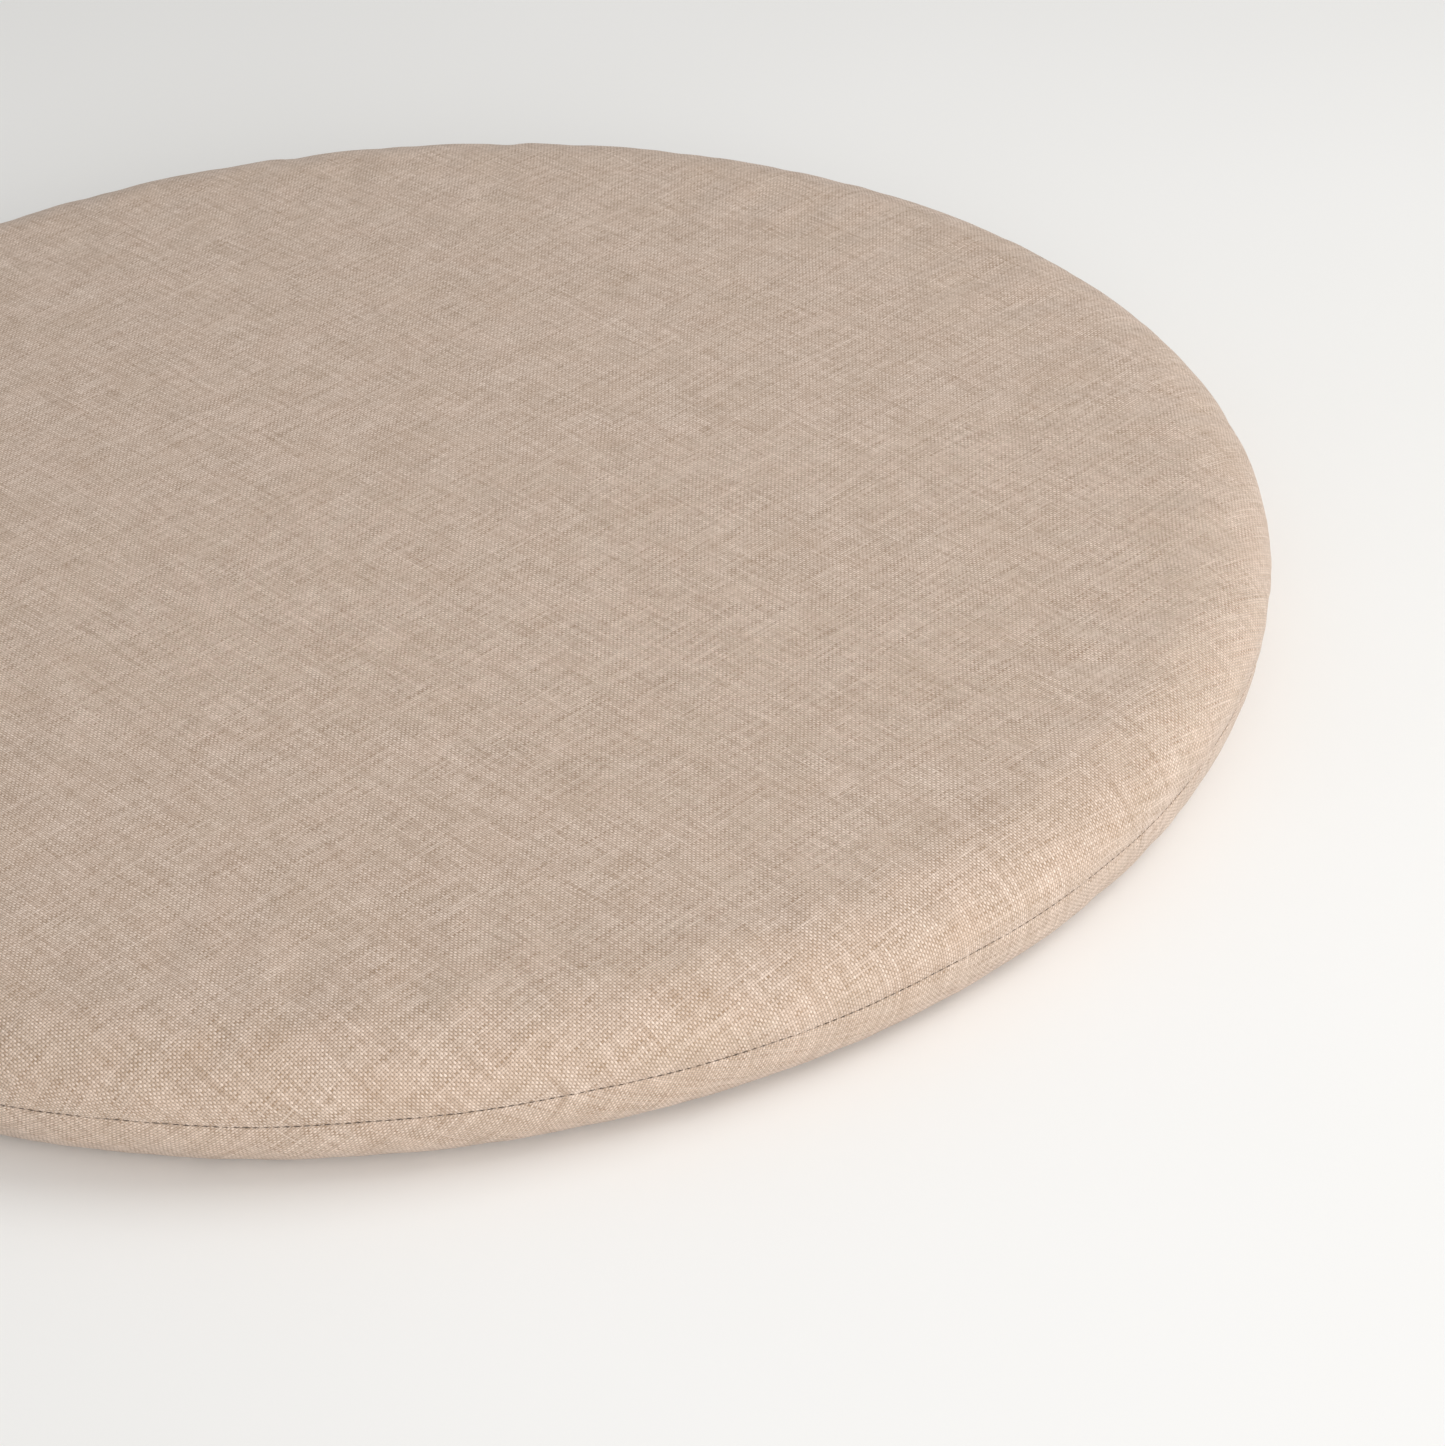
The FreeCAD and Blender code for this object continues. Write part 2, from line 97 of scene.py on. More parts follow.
# The seam, its slots between the stitches, and the puckers beside it.
SLOT = (0.30 * MM, 0.17 * MM, 0.0, 0.17 * MM)   # how far each lip stands back, over one stitch
SLOT_REACH = 0.7 * MM               # how far from the seam the cloth gives way for the slots
SEAM_DIP = 0.25 * MM                # the shallow crease along the seam
SEAM_DIP_WIDTH = 1.3 * MM
SEAM_DRIFT = 0.35 * MM              # how far the seam wanders up and down
DRIFT_WAVES = (60 * MM, 300 * MM, 8)            # shortest, longest and how many
DRIFT_REACH = 12 * MM
SHORT_RIPPLE = 0.15 * MM            # height of the puckers
SHORT_WAVES = (9 * MM, 22 * MM, 14)
SHORT_REACH = 7 * MM
LONG_RIPPLE = 0.16 * MM
LONG_WAVES = (28 * MM, 80 * MM, 9)
LONG_REACH = 22 * MM
PUCKERED = 40 * MM                  # how far from the seam the mesh is fine enough for the puckers

# The rings of the lip that each panel turns in: how far in, how far back from the seam's line, the share
# of the slots' depth, the place along the cloth and how dark the painted shade in the crease is.
LIP = (
    (SEAM_DIP + 0.05 * MM, 0.0, 1.0, 0.0, 0.25),
    (SEAM_DIP + 0.4 * MM, 0.02 * MM, 1.0, -0.5 * MM, 1.0),
    (SEAM_DIP + 1.2 * MM, 0.02 * MM, 0.6, -1.2 * MM, 1.0),
    (ALLOWANCE, LIP_GAP, 0.0, -ALLOWANCE, 1.0),
    (ALLOWANCE, LIP_GAP + CLOTH, 0.0, -ALLOWANCE, 1.0),
    (CLOTH + 0.6 * MM, LIP_GAP + CLOTH, 0.0, -CLOTH, 1.0),
)

# The zip's opening.
ZIP_EDGE = 5.2 * MM                 # from the seam's line to each panel's edge along the zip
EDGE_EASE = 34 * MM                 # the cloth that gives way for it
ZIP_RIPPLE = 0.5                    # the share of the ripples that the stitched edge takes away
AT_ZIP = 0.02                       # from this share of the opening on, the seam has no stitches

# The threads.
THREAD_SIDES = 6
LOOP_RADIUS = 0.17 * MM             # the seam's thread
LOOP_DEPTH = 0.3 * MM               # how deep between the lips its loops lie
LOOP_BOW = 0.6 * MM
LOOP_HALF = 0.6 * MM                # half the height of a loop
LOOP_POINTS = 5
STITCH_LINE = 2.4 * MM              # from each panel's edge to the topstitching
STITCH_LIFT = np.array([-0.06, 0.3, 0.3, -0.06]) * MM   # of a topstitch's points above the cloth
TOPSTITCH_RADIUS = 0.25 * MM

# The zip's coil.
COIL_PITCH = 1.5 * MM
COIL_STEPS = 12                     # points to a turn
COIL_OFFSET = 1.25 * MM             # from the seam's line to the middle of each row
COIL_REACH = 1.15 * MM              # half the width of a row
COIL_DEPTH = 0.55 * MM              # half its thickness
COIL_WIRE = 0.3 * MM
COIL_SIDES = 5

# The bar tacks.
TACK_ROWS = 7
TACK_WIDTH = 1.4 * MM
TACK_THREAD = 0.19 * MM
TACK_POINTS = 9
TACK_CROWN = 0.72 * MM              # how far a tack stands out in the middle
TACK_BOW = 1.52 * MM                # and how far its ends turn back in from there
TACK_UNEVEN = 0.04                  # how much shorter every other thread is

# The simulation that blows the cover up over its filling.
FORM_TURNS = 160
VOXEL = 5 * MM
SEAM_BAND = 8 * MM                  # how far in from the rim the form counts as the seam,
SEAM_HALF_HEIGHT = 0.6 * VOXEL      # and how far above and below the seam's line
TAUT_EDGE = 3 * SHOULDER_WIDTH      # the cloth is taut further in from the rim than this,
LOOSE_EDGE = SHOULDER_WIDTH / 2     # and loose from here out
RESTING = 0.5 * MM                  # below this height the cover lies on the seat
FOAM_HOLD = 0.22                    # how firmly the foam under the cloth holds it in place
PRESSURE = 4.0
EXTRA_CLOTH = 0.006                 # how much too long the cloth is near the rim
SETTLE_FRAMES = 20
SWELL_CAP = 3 * MM                  # how far the simulation may move the cover
SWELL_START = 1 * MM                # distance from the seam where its swelling starts
SWELL_FULL = 14 * MM                # and where it is whole
NEIGHBOURS = 9                      # simulated points that one point of the cover follows

rng = np.random.default_rng(SEED)


def smooth_step(low, high, x):
    """0 below low, 1 above high, and smooth between them."""
    t = np.clip((x - low) / (high - low), 0, 1)
    return t * t * (3 - 2 * t)


# ---------------------------------------------------------------- the pad's section

def upper_section():
    """Points of the top panel's section, from the seam over the shoulder to the middle."""
    heights = np.linspace(SEAM_Z, RIM_Z, RISE_POINTS)[:-1]
    heel = [(RADIUS - HEEL_WIDTH + HEEL_WIDTH * math.sqrt(1 - (1 - h / RIM_Z) ** 2), h) for h in heights]
    turn = np.linspace(0, math.pi / 2, SHOULDER_POINTS)
    rise = TOP_Z - CROWN - RIM_Z
    shoulder = [
        (RADIUS - SHOULDER_WIDTH + SHOULDER_WIDTH * math.cos(a), RIM_Z + rise * math.sin(a)) for a in turn
    ]
    flat = RADIUS - SHOULDER_WIDTH
    top = [(r, TOP_Z - CROWN * (r / flat) ** 2) for r in np.linspace(flat, 0, FLAT_POINTS)[1:]]
    return np.array(heel + shoulder + top)


def lower_section():
    """Points of the bottom panel's section, from the seam under the heel to the middle."""
    turn = np.linspace(math.asin(1 - SEAM_Z / RIM_Z), math.pi / 2, HEEL_POINTS)
    heel = [(RADIUS - HEEL_WIDTH + HEEL_WIDTH * math.cos(a), RIM_Z - RIM_Z * math.sin(a)) for a in turn]
    under = [(r, 0.0) for r in np.linspace(RADIUS - HEEL_WIDTH, 0, FLAT_POINTS)[1:]]
    return np.array(heel + under)


class Section:
    """One panel's section: where a place on it is, and which way is out, by distance from the seam."""

    def __init__(self, points, upper):
        self.points = points
        self.side = 1 if upper else -1
        steps = np.linalg.norm(np.diff(points, axis=0), axis=1)
        self.along = np.concatenate([[0], np.cumsum(steps)])
        self.length = self.along[-1]
        slope = np.gradient(points, self.along, axis=0)
        slope /= np.linalg.norm(slope, axis=1)[:, None]
        self.out = np.stack([slope[:, 1], -slope[:, 0]], axis=1) * self.side

    def at(self, distance):
        """Radius, height, and the two parts of the outward direction."""
        parts = (self.points[:, 0], self.points[:, 1], self.out[:, 0], self.out[:, 1])
        return [np.interp(distance, self.along, part) for part in parts]


TOP = Section(upper_section(), True)
BOTTOM = Section(lower_section(), False)


def beside_zip(azimuth):
    """1 along the zip, 0 round the rest of the rim, and smooth at the zip's two ends."""
    off = np.abs(np.mod(azimuth - REAR + math.pi, TAU) - math.pi)
    return 1 - smooth_step(ZIP_HALF_ARC - ZIP_END_FADE / 2, ZIP_HALF_ARC + ZIP_END_FADE / 2, off)


# ---------------------------------------------------------------- simulation

def revolved(name, sections, turns):
    """A closed form from the two sections, for the simulation to start from."""
    outline = np.concatenate([sections[0][::-1], sections[1][1:]])
    angles = np.arange(turns) * TAU / turns
    mesh = bmesh.new()
    rings = []
    for r, z in outline:
        if r < ON_AXIS:
            rings.append([mesh.verts.new((0, 0, z))])
            continue
        rings.append([mesh.verts.new((r * math.cos(a), r * math.sin(a), z)) for a in angles])
    for upper, lower in zip(rings, rings[1:]):
        for i in range(turns):
            j = (i + 1) % turns
            corners = [ring[k % len(ring)] for ring, k in ((upper, i), (lower, i), (lower, j), (upper, j))]
            mesh.faces.new(list(dict.fromkeys(corners)))
    data = bpy.data.meshes.new(name)
    mesh.to_mesh(data)
    mesh.free()
    made = bpy.data.objects.new(name, data)
    bpy.context.scene.collection.objects.link(made)
    return made


def evaluated_points(obj):
    """The points of an object's mesh with its modifiers."""
    shown = obj.evaluated_get(bpy.context.evaluated_depsgraph_get())
    mesh = shown.to_mesh()
    points = np.zeros(len(mesh.vertices) * 3)
    mesh.vertices.foreach_get("co", points)
    shown.to_mesh_clear()
    return points.reshape(-1, 3)


def even_form():
    """The whole cover as one closed mesh of even squares, for the cloth simulation."""
    form = revolved("swell_form", (TOP.points, BOTTOM.points), FORM_TURNS)
    remesh = form.modifiers.new("remesh", "REMESH")
    remesh.mode = "VOXEL"
    remesh.voxel_size = VOXEL
    shown = form.evaluated_get(bpy.context.evaluated_depsgraph_get())
    cloth_mesh = bpy.data.meshes.new_from_object(shown)
    cloth = bpy.data.objects.new("swell_cloth", cloth_mesh)
    bpy.context.scene.collection.objects.link(cloth)
    bpy.data.objects.remove(form)
    return cloth


def hold_in_place(cloth, start):
    """Marks how firmly each point of the cloth is held, and how taut the cloth is there."""
    radius = np.hypot(start[:, 0], start[:, 1])
    seam = (radius > RADIUS - SEAM_BAND) & (np.abs(start[:, 2] - SEAM_Z) < SEAM_HALF_HEIGHT)
    resting = start[:, 2] < RESTING
    weights = np.where(seam | resting, 1.0, FOAM_HOLD)
    tautness = 1 - smooth_step(RADIUS - TAUT_EDGE, RADIUS - LOOSE_EDGE, radius)
    held = cloth.vertex_groups.new(name="held")
    taut = cloth.vertex_groups.new(name="taut")
    for index in range(len(start)):
        held.add([index], float(weights[index]), "REPLACE")
        taut.add([index], float(tautness[index]), "REPLACE")


def swollen_cover():
    """Blows the cover up over its filling as cloth. Returns the cloth's points and how far each moved."""
    cloth = even_form()
    start = np.array([v.co for v in cloth.data.vertices])
    hold_in_place(cloth, start)
    modifier = cloth.modifiers.new("cloth", "CLOTH")
    settings = modifier.settings
    settings.quality = 6
    settings.vertex_group_mass = "held"
    settings.use_pressure = True
    settings.uniform_pressure_force = PRESSURE
    settings.tension_stiffness = 25
    settings.compression_stiffness = 20
    settings.shear_stiffness = 12
    settings.bending_stiffness = 4
    settings.vertex_group_shrink = "taut"
    settings.shrink_min = -EXTRA_CLOTH
    settings.shrink_max = 0.0
    settings.effector_weights.gravity = 0
    modifier.point_cache.frame_start = 1
    modifier.point_cache.frame_end = SETTLE_FRAMES
    scene = bpy.context.scene
    for number in range(1, SETTLE_FRAMES + 1):
        scene.frame_set(number)
    moved = evaluated_points(cloth) - start
    bpy.data.objects.remove(cloth)
    scene.frame_set(1)
    far = np.linalg.norm(moved, axis=1)
    moved *= (SWELL_CAP * np.tanh(far / SWELL_CAP) / np.maximum(far, NO_DISTANCE))[:, None]
    return start, moved


class Swell:
    """The simulated swelling, as a smooth field that any point of the cover can be moved by."""

    def __init__(self, start, moved):
        self.start = start
        self.moved = moved
        self.tree = KDTree(len(start))
        for index, point in enumerate(start):
            self.tree.insert(point, index)
        self.tree.balance()

    def at(self, points):
        """How far each of the points moves."""
        shifts = np.zeros_like(points)
        for index, point in enumerate(points):
            near = self.tree.find_n(point, NEIGHBOURS)
            which = [item[1] for item in near]
            far = np.array([item[2] for item in near])
            weights = np.exp(-((far / VOXEL) ** 2))
            shifts[index] = weights @ self.moved[which] / weights.sum()
        return shifts


class NoSwell:
    """The cover as it is without the simulation."""

    def at(self, points):
        return np.zeros_like(points)


# ---------------------------------------------------------------- the cover's two panels

def waves(azimuth, shortest, longest, number):
    """An uneven ripple round the rim, about 1 high, with waves of the lengths given."""
    lengths = rng.uniform(shortest, longest, number)
    turns = np.round(TAU * RADIUS / lengths)
    phases = rng.uniform(0, TAU, number)
    return sum(np.sin(n * azimuth + p) for n, p in zip(turns, phases)) / math.sqrt(number)


azimuths = np.arange(COLUMNS) * TAU / COLUMNS
slots = np.tile(SLOT, STITCHES)
pucker = {side: (waves(azimuths, *SHORT_WAVES), waves(azimuths, *LONG_WAVES)) for side in (1, -1)}
seam_drift = SEAM_DRIFT * waves(azimuths, *DRIFT_WAVES)


def ring_distances(section):
    """Distances from the seam of the rings of points, close together at the seam."""
    distances = list(FIRST_RINGS)
    step = FIRST_STEP
    while distances[-1] + step < section.length - LAST_STEP / 2:
        distances.append(distances[-1] + step)
        step = min(step * STEP_GROWTH, LAST_STEP)
    return distances


def column_count(radius, distance, last):
    """How many points a ring has: the full number at the seam, and fewer as the form gets plainer."""
    spacing = NEAR_SPACING if distance < PUCKERED else FAR_SPACING
    count = COLUMNS
    while distance > FIRST_RINGS[-1] and count > LEAST_COLUMNS and TAU * radius / count < spacing:
        count //= 2
    return max(count, last // 2)


def ring_points(section, distance, depth, count):
    """One ring of points: distance from the seam, and depth below the outside of the cloth."""
    every = COLUMNS // count
    azimuth = azimuths[::every]
    short, long = (wave[::every] for wave in pucker[section.side])
    zip_share = beside_zip(azimuth)
    push = ZIP_EDGE * zip_share
    where = push + distance * (1 - push / EDGE_EASE) if distance < EDGE_EASE else np.full(count, distance)
    radius, height, out_r, out_z = section.at(where)
    ripple = SHORT_RIPPLE * short * np.exp(-distance / SHORT_REACH)
    ripple += LONG_RIPPLE * long * np.exp(-distance / LONG_REACH)
    crease_and_painted_shade = -SEAM_DIP * np.exp(-((distance / SEAM_DIP_WIDTH) ** 2)) * (1 - zip_share)
    out = ripple * (1 - ZIP_RIPPLE * zip_share) + crease_and_painted_shade - depth
    opening = slots[::every] * np.exp(-distance / SLOT_REACH)
    drift = seam_drift[::every] * np.exp(-distance / DRIFT_REACH) + section.side * opening
    radius = radius + out * out_r
    height = height + out * out_z + drift * (1 - zip_share)
    return np.stack([radius * np.cos(azimuth), radius * np.sin(azimuth), height], axis=1)


def lip_points(section, inward, set_back, slot):
    """A ring of the lip where the panel turns in: how far in, and how far back from the seam's line."""
    zip_share = beside_zip(azimuths)
    radius, height, _, _ = section.at(ZIP_EDGE * zip_share)
    back = section.side * (set_back + slot * slots * (1 - zip_share))
    radius = radius - inward
    height = height + back + seam_drift * (1 - zip_share)
    return np.stack([radius * np.cos(azimuths), radius * np.sin(azimuths), height], axis=1)


def panel_rings(section):
    """Rings from the middle of the outside over the lip to the middle of the inside.

    Each has its points, its distance from the seam along the cloth, and how dark the painted shade of the
    crease is there.
    """
    outside = []
    count = COLUMNS
    for distance in ring_distances(section):
        count = column_count(float(section.at(distance)[0]), distance, count)
        outside.append((ring_points(section, distance, 0.0, count), distance, 0.0))
    lip = [(lip_points(section, *place), distance, crease_and_painted_shade) for *place, distance, crease_and_painted_shade in LIP]
    inside = []
    count = COLUMNS
    for distance in np.arange(INNER_START, section.length - INNER_STEP, INNER_STEP):
        count = column_count(float(section.at(distance)[0]) / INNER_COARSER, distance, count)
        inside.append((ring_points(section, distance, CLOTH, count), distance, 0.0))
    return outside[::-1] + lip + inside


def panel(name, section, swell):
    """One panel of the cover as a closed shell of cloth: outside, turned-in lip and inside."""
    rings = panel_rings(section)
    sizes = [len(ring) for ring, _, _ in rings]
    starts = np.cumsum([0] + sizes[:-1])
    points = np.concatenate([ring for ring, _, _ in rings])
    distances = np.repeat([distance for _, distance, _ in rings], sizes)
    # painted shade: how much each ring's colour is darkened in the crease of the seam
    crease_and_painted_shade = np.repeat([painted_shade for _, _, painted_shade in rings], sizes)
    points += swell.at(points) * smooth_step(SWELL_START, SWELL_FULL, distances)[:, None]
    tips = np.array([[0, 0, np.mean(rings[end][0][:, 2])] for end in (0, -1)])
    tips += swell.at(tips)

    faces = []
    for ring in range(len(rings) - 1):
        faces += bridge(starts[ring], sizes[ring], starts[ring + 1], sizes[ring + 1])
    outer_tip, inner_tip = len(points), len(points) + 1
    first, last = sizes[0], sizes[-1]
    faces += [(outer_tip, i, (i + 1) % first) for i in range(first)]
    faces += [(inner_tip, starts[-1] + (i + 1) % last, starts[-1] + i) for i in range(last)]
    if section.side < 0:
        faces = [face[::-1] for face in faces]

    made = mesh_object(name, np.concatenate([points, tips]), faces)
    flat_radius = section.length - distances
    turns = np.concatenate([azimuths[:: COLUMNS // size] for size in sizes])
    flat = np.stack([flat_radius * np.cos(turns), flat_radius * np.sin(turns), 0 * turns], axis=1)
    cloth = np.concatenate([flat, np.zeros((2, 3))])
    cloth[:, 2] = section.side
    add_attribute(made, "cloth_place", "FLOAT_VECTOR", cloth)
    add_attribute(made, "crease_and_painted_shade", "FLOAT", np.concatenate([crease_and_painted_shade, np.zeros(2)]))
    return made


def bridge(first, first_count, second, second_count):
    """Faces between two rings of points, of which one may have twice as many as the other."""
    if first_count == second_count:
        return [
            (first + i, second + i, second + (i + 1) % second_count, first + (i + 1) % first_count)
            for i in range(first_count)
        ]
    if second_count == 2 * first_count:
        return [
            (
                first + i,
                second + 2 * i,
                second + 2 * i + 1,
                second + (2 * i + 2) % second_count,
                first + (i + 1) % first_count,
            )
            for i in range(first_count)
        ]
    return [
        (
            first + 2 * i,
            second + i,
            second + (i + 1) % second_count,
            first + (2 * i + 2) % first_count,
            first + 2 * i + 1,
        )
        for i in range(second_count)
    ]


# ---------------------------------------------------------------- meshes in general

def mesh_object(name, verts, faces):
    """A smooth-shaded object from points and faces."""
    mesh = bpy.data.meshes.new(name)
    mesh.from_pydata([tuple(v) for v in verts], [], [tuple(int(i) for i in face) for face in faces])
    mesh.polygons.foreach_set("use_smooth", [True] * len(mesh.polygons))
    mesh.validate()
    mesh.update()
    made = bpy.data.objects.new(name, mesh)
    bpy.context.scene.collection.objects.link(made)
    return made


def add_attribute(obj, name, kind, values):
    """Gives each point of an object's mesh a value of its own."""
    attribute = obj.data.attributes.new(name, kind, "POINT")
    attribute.data.foreach_set("vector" if kind == "FLOAT_VECTOR" else "value", values.ravel())


def tubes(name, paths, radius, sides):
    """One mesh of many round threads with closed ends. Each path is an array of points."""
    verts, faces = [], []
    turn = np.arange(sides) * TAU / sides
    for path in paths:
        along = np.gradient(path, axis=0)
        along /= np.linalg.norm(along, axis=1)[:, None]
        helper = np.where(np.abs(along[:, 2:3]) > STEEP, [[1.0, 0, 0]], [[0, 0, 1.0]])
        across = np.cross(along, helper)
        across /= np.linalg.norm(across, axis=1)[:, None]
        upward = np.cross(across, along)
        start = len(verts)
        for centre, a, b in zip(path, across, upward):
            verts.extend(centre + radius * (math.cos(t) * a + math.sin(t) * b) for t in turn)
        for ring in range(len(path) - 1):
            low = start + ring * sides
            for i in range(sides):
                j = (i + 1) % sides
                faces.append((low + i, low + j, low + sides + j, low + sides + i))
        faces.append(tuple(start + i for i in reversed(range(sides))))
        top = start + (len(path) - 1) * sides
        faces.append(tuple(top + i for i in range(sides)))
    return mesh_object(name, verts, faces)


def on_rim(azimuth, radius, height):
    """A point beside the pad's rim."""
    return np.array([radius * math.cos(azimuth), radius * math.sin(azimuth), height])


# ---------------------------------------------------------------- stitches and the zip

def seam_stitches():
    """The loops of the seam's thread that show between the lips, one to a stitch."""
    radius = float(TOP.at(0.0)[0]) - LOOP_DEPTH
    reach = np.linspace(-1, 1, LOOP_POINTS)
    paths = []
    for number in range(STITCHES):
        azimuth = (number + 0.5) * TAU / STITCHES
        if beside_zip(azimuth) > AT_ZIP:
            continue
        middle = SEAM_Z + seam_drift[PER_STITCH * number + PER_STITCH // 2]
        loop = [on_rim(azimuth, radius - LOOP_BOW * t * t, middle + LOOP_HALF * t) for t in reach]
        paths.append(np.array(loop))
    return tubes("side_seam_stitches", paths, LOOP_RADIUS, THREAD_SIDES)


def topstitches(name, section):
    """A row of stitches on the panel along the zip, each three quarters of a pitch long."""
    surface = ring_points(section, STITCH_LINE, 0.0, COLUMNS)
    outward = ring_points(section, STITCH_LINE, -1.0, COLUMNS) - surface
    first = int((REAR - ZIP_HALF_ARC) / TAU * STITCHES)
    last = int((REAR + ZIP_HALF_ARC) / TAU * STITCHES)
    paths = []
    for stitch in range(first, last + 1):
        columns = PER_STITCH * stitch + np.arange(PER_STITCH)
        paths.append(surface[columns] + outward[columns] * STITCH_LIFT[:, None])
    return tubes(name, paths, TOPSTITCH_RADIUS, THREAD_SIDES)


def zip_row(name, node, side):
    """One row of the zip's coil: a thread of nylon wound flat along the edge of its tape."""
    half = math.asin(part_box(node)[1].x / RADIUS)
    turns = int(2 * half * RADIUS / COIL_PITCH)
    middle = SEAM_Z + side * COIL_OFFSET
    phase = 0 if side > 0 else math.pi
    path = []
    for step in range(turns * COIL_STEPS + 1):
        turn = step / COIL_STEPS
        angle = TAU * turn + phase
        azimuth = REAR - half + 2 * half * (turn + 0.5) / (turns + 1)
        height = middle + side * COIL_REACH * math.cos(angle)
        radius = RADIUS + COIL_DEPTH * math.sin(angle)
        path.append(on_rim(azimuth, radius, height))
    return tubes(name, [np.array(path)], COIL_WIRE, COIL_SIDES)


def end_tack(name, node):
    """A bar tack: close stitches laid over each other across the end of the zip."""
    low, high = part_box(node)
    middle = (low + high) / 2
    azimuth = math.atan2(middle.y, middle.x)
    half = (high.z - low.z) / 2
    radius = math.hypot(middle.x, middle.y) + TACK_CROWN
    along = np.linspace(-1, 1, TACK_POINTS)
    paths = []
    for row in range(TACK_ROWS):
        at = azimuth + (row / (TACK_ROWS - 1) - 0.5) * TACK_WIDTH / RADIUS
        reach = half * (1 - TACK_UNEVEN * (row % 2))
        thread = [on_rim(at, radius - TACK_BOW * t ** 4, middle.z + t * reach) for t in along]
        paths.append(np.array(thread))
    return tubes(name, paths, TACK_THREAD, THREAD_SIDES)


# ---------------------------------------------------------------- materials

def colour(red, green, blue):
    """A colour given in the usual 0 to 255 steps, as the shader wants it."""
    parts = []
    for part in (red, green, blue):
        part /= 255
        parts.append(part / 12.92 if part <= 0.04045 else ((part + 0.055) / 1.055) ** 2.4)
    return (*parts, 1.0)


class Shader:
    """A material and short ways to add nodes to it."""

    def __init__(self, name, roughness, **values):
        self.material = bpy.data.materials.new(name)
        self.material.use_nodes = True
        self.tree = self.material.node_tree
        self.surface = self.tree.nodes["Principled BSDF"]
        self.surface.inputs["Roughness"].default_value = roughness
        for socket, value in values.items():
            self.surface.inputs[socket.replace("_", " ")].default_value = value

    def feed(self, socket, value):
        """Links a socket, or sets it to a value."""
        if isinstance(value, bpy.types.NodeSocket):
            self.tree.links.new(value, socket)
        else:
            socket.default_value = value

    def add(self, kind, output, inputs, **settings):
        """Adds a node and returns one of its outputs."""
        node = self.tree.nodes.new(kind)
        for key, value in settings.items():
            setattr(node, key, value)
        for key, value in inputs.items():
            self.feed(node.inputs[key], value)
        return node.outputs[output]

    def maths(self, operation, first, second=0.0, third=0.0):
        return self.add("ShaderNodeMath", 0, {0: first, 1: second, 2: third}, operation=operation)

    def vector(self, x, y, z=0.0):
        return self.add("ShaderNodeCombineXYZ", 0, {"X": x, "Y": y, "Z": z})

    def split(self, vector):
        node = self.tree.nodes.new("ShaderNodeSeparateXYZ")
        self.feed(node.inputs[0], vector)
        return node.outputs

    def noise(self, vector, scale, detail=2.0, roughness=0.5):
        inputs = {"Vector": vector, "Scale": scale, "Detail": detail, "Roughness": roughness}
        return self.add("ShaderNodeTexNoise", 0, inputs)

    def blend(self, share, first, second, blend_type="MIX"):
        """Mixes two colours. The node has sockets of the same name for each kind of value."""
        node = self.tree.nodes.new("ShaderNodeMix")
        node.data_type = "RGBA"
        node.blend_type = blend_type
        for key, value in (("Factor_Float", share), ("A_Color", first), ("B_Color", second)):
            self.feed(next(item for item in node.inputs if item.identifier == key), value)
        return next(item for item in node.outputs if item.identifier == "Result_Color")

    def between(self, share, first, second):
        """Mixes two numbers."""
        return self.add("ShaderNodeMix", 0, {0: share, 2: first, 3: second}, data_type="FLOAT")

    def spread(self, value, low, high, to_low=0.0, to_high=1.0):
        inputs = {"Value": value, "From Min": low, "From Max": high, "To Min": to_low, "To Max": to_high}
        return self.add("ShaderNodeMapRange", 0, inputs)

    def place(self):
        return self.add("ShaderNodeTexCoord", "Object", {})

    def attribute(self, name, output):
        return self.add("ShaderNodeAttribute", output, {}, attribute_name=name)

    def finish(self, base, height=None, depth=0.0, strength=1.0, roughness=None):
        self.feed(self.surface.inputs["Base Color"], base)
        if roughness is not None:
            self.feed(self.surface.inputs["Roughness"], roughness)
        if height is not None:
            inputs = {"Height": height, "Distance": depth, "Strength": strength}
            bump = self.add("ShaderNodeBump", 0, inputs)
            self.feed(self.surface.inputs["Normal"], bump)
        return self.material


# The cover's cloth, a plain weave.
THREAD_PITCH = 0.95 * MM
WEAVE_TURN = math.radians(42)       # of the warp, seen from above
YARN_HEIGHT = 0.30 * MM
CRIMP = 0.32                        # how much the threads rise and dive, against their thickness
WARP_LIFT = 0.17                    # how much lighter the warp is than the weft
STREAK = 0.09                       # tone of a run of neighbouring threads
YARN_DARK = colour(160, 134, 110)
YARN_LIGHT = colour(236, 215, 198)
YARN_ROSE = colour(222, 182, 158)
YARN_TAN = colour(188, 163, 136)
ROSE_SHARE = 0.08                   # of the rosy yarn, where there is most of it
TAN_SHARE = 0.13
GAP_PAINTED_SHADE = 0.50                     # brightness of the painted shade in the gaps between the threads
CREASE_PAINTED_SHADE = 0.5                   # brightness of the painted shade inside the crease of the seam
WANDER = 1.2                        # how many threads' width the weave wanders to either side
SECOND_SET = 500.5                  # keeps the numbers of the weft's threads apart from the warp's


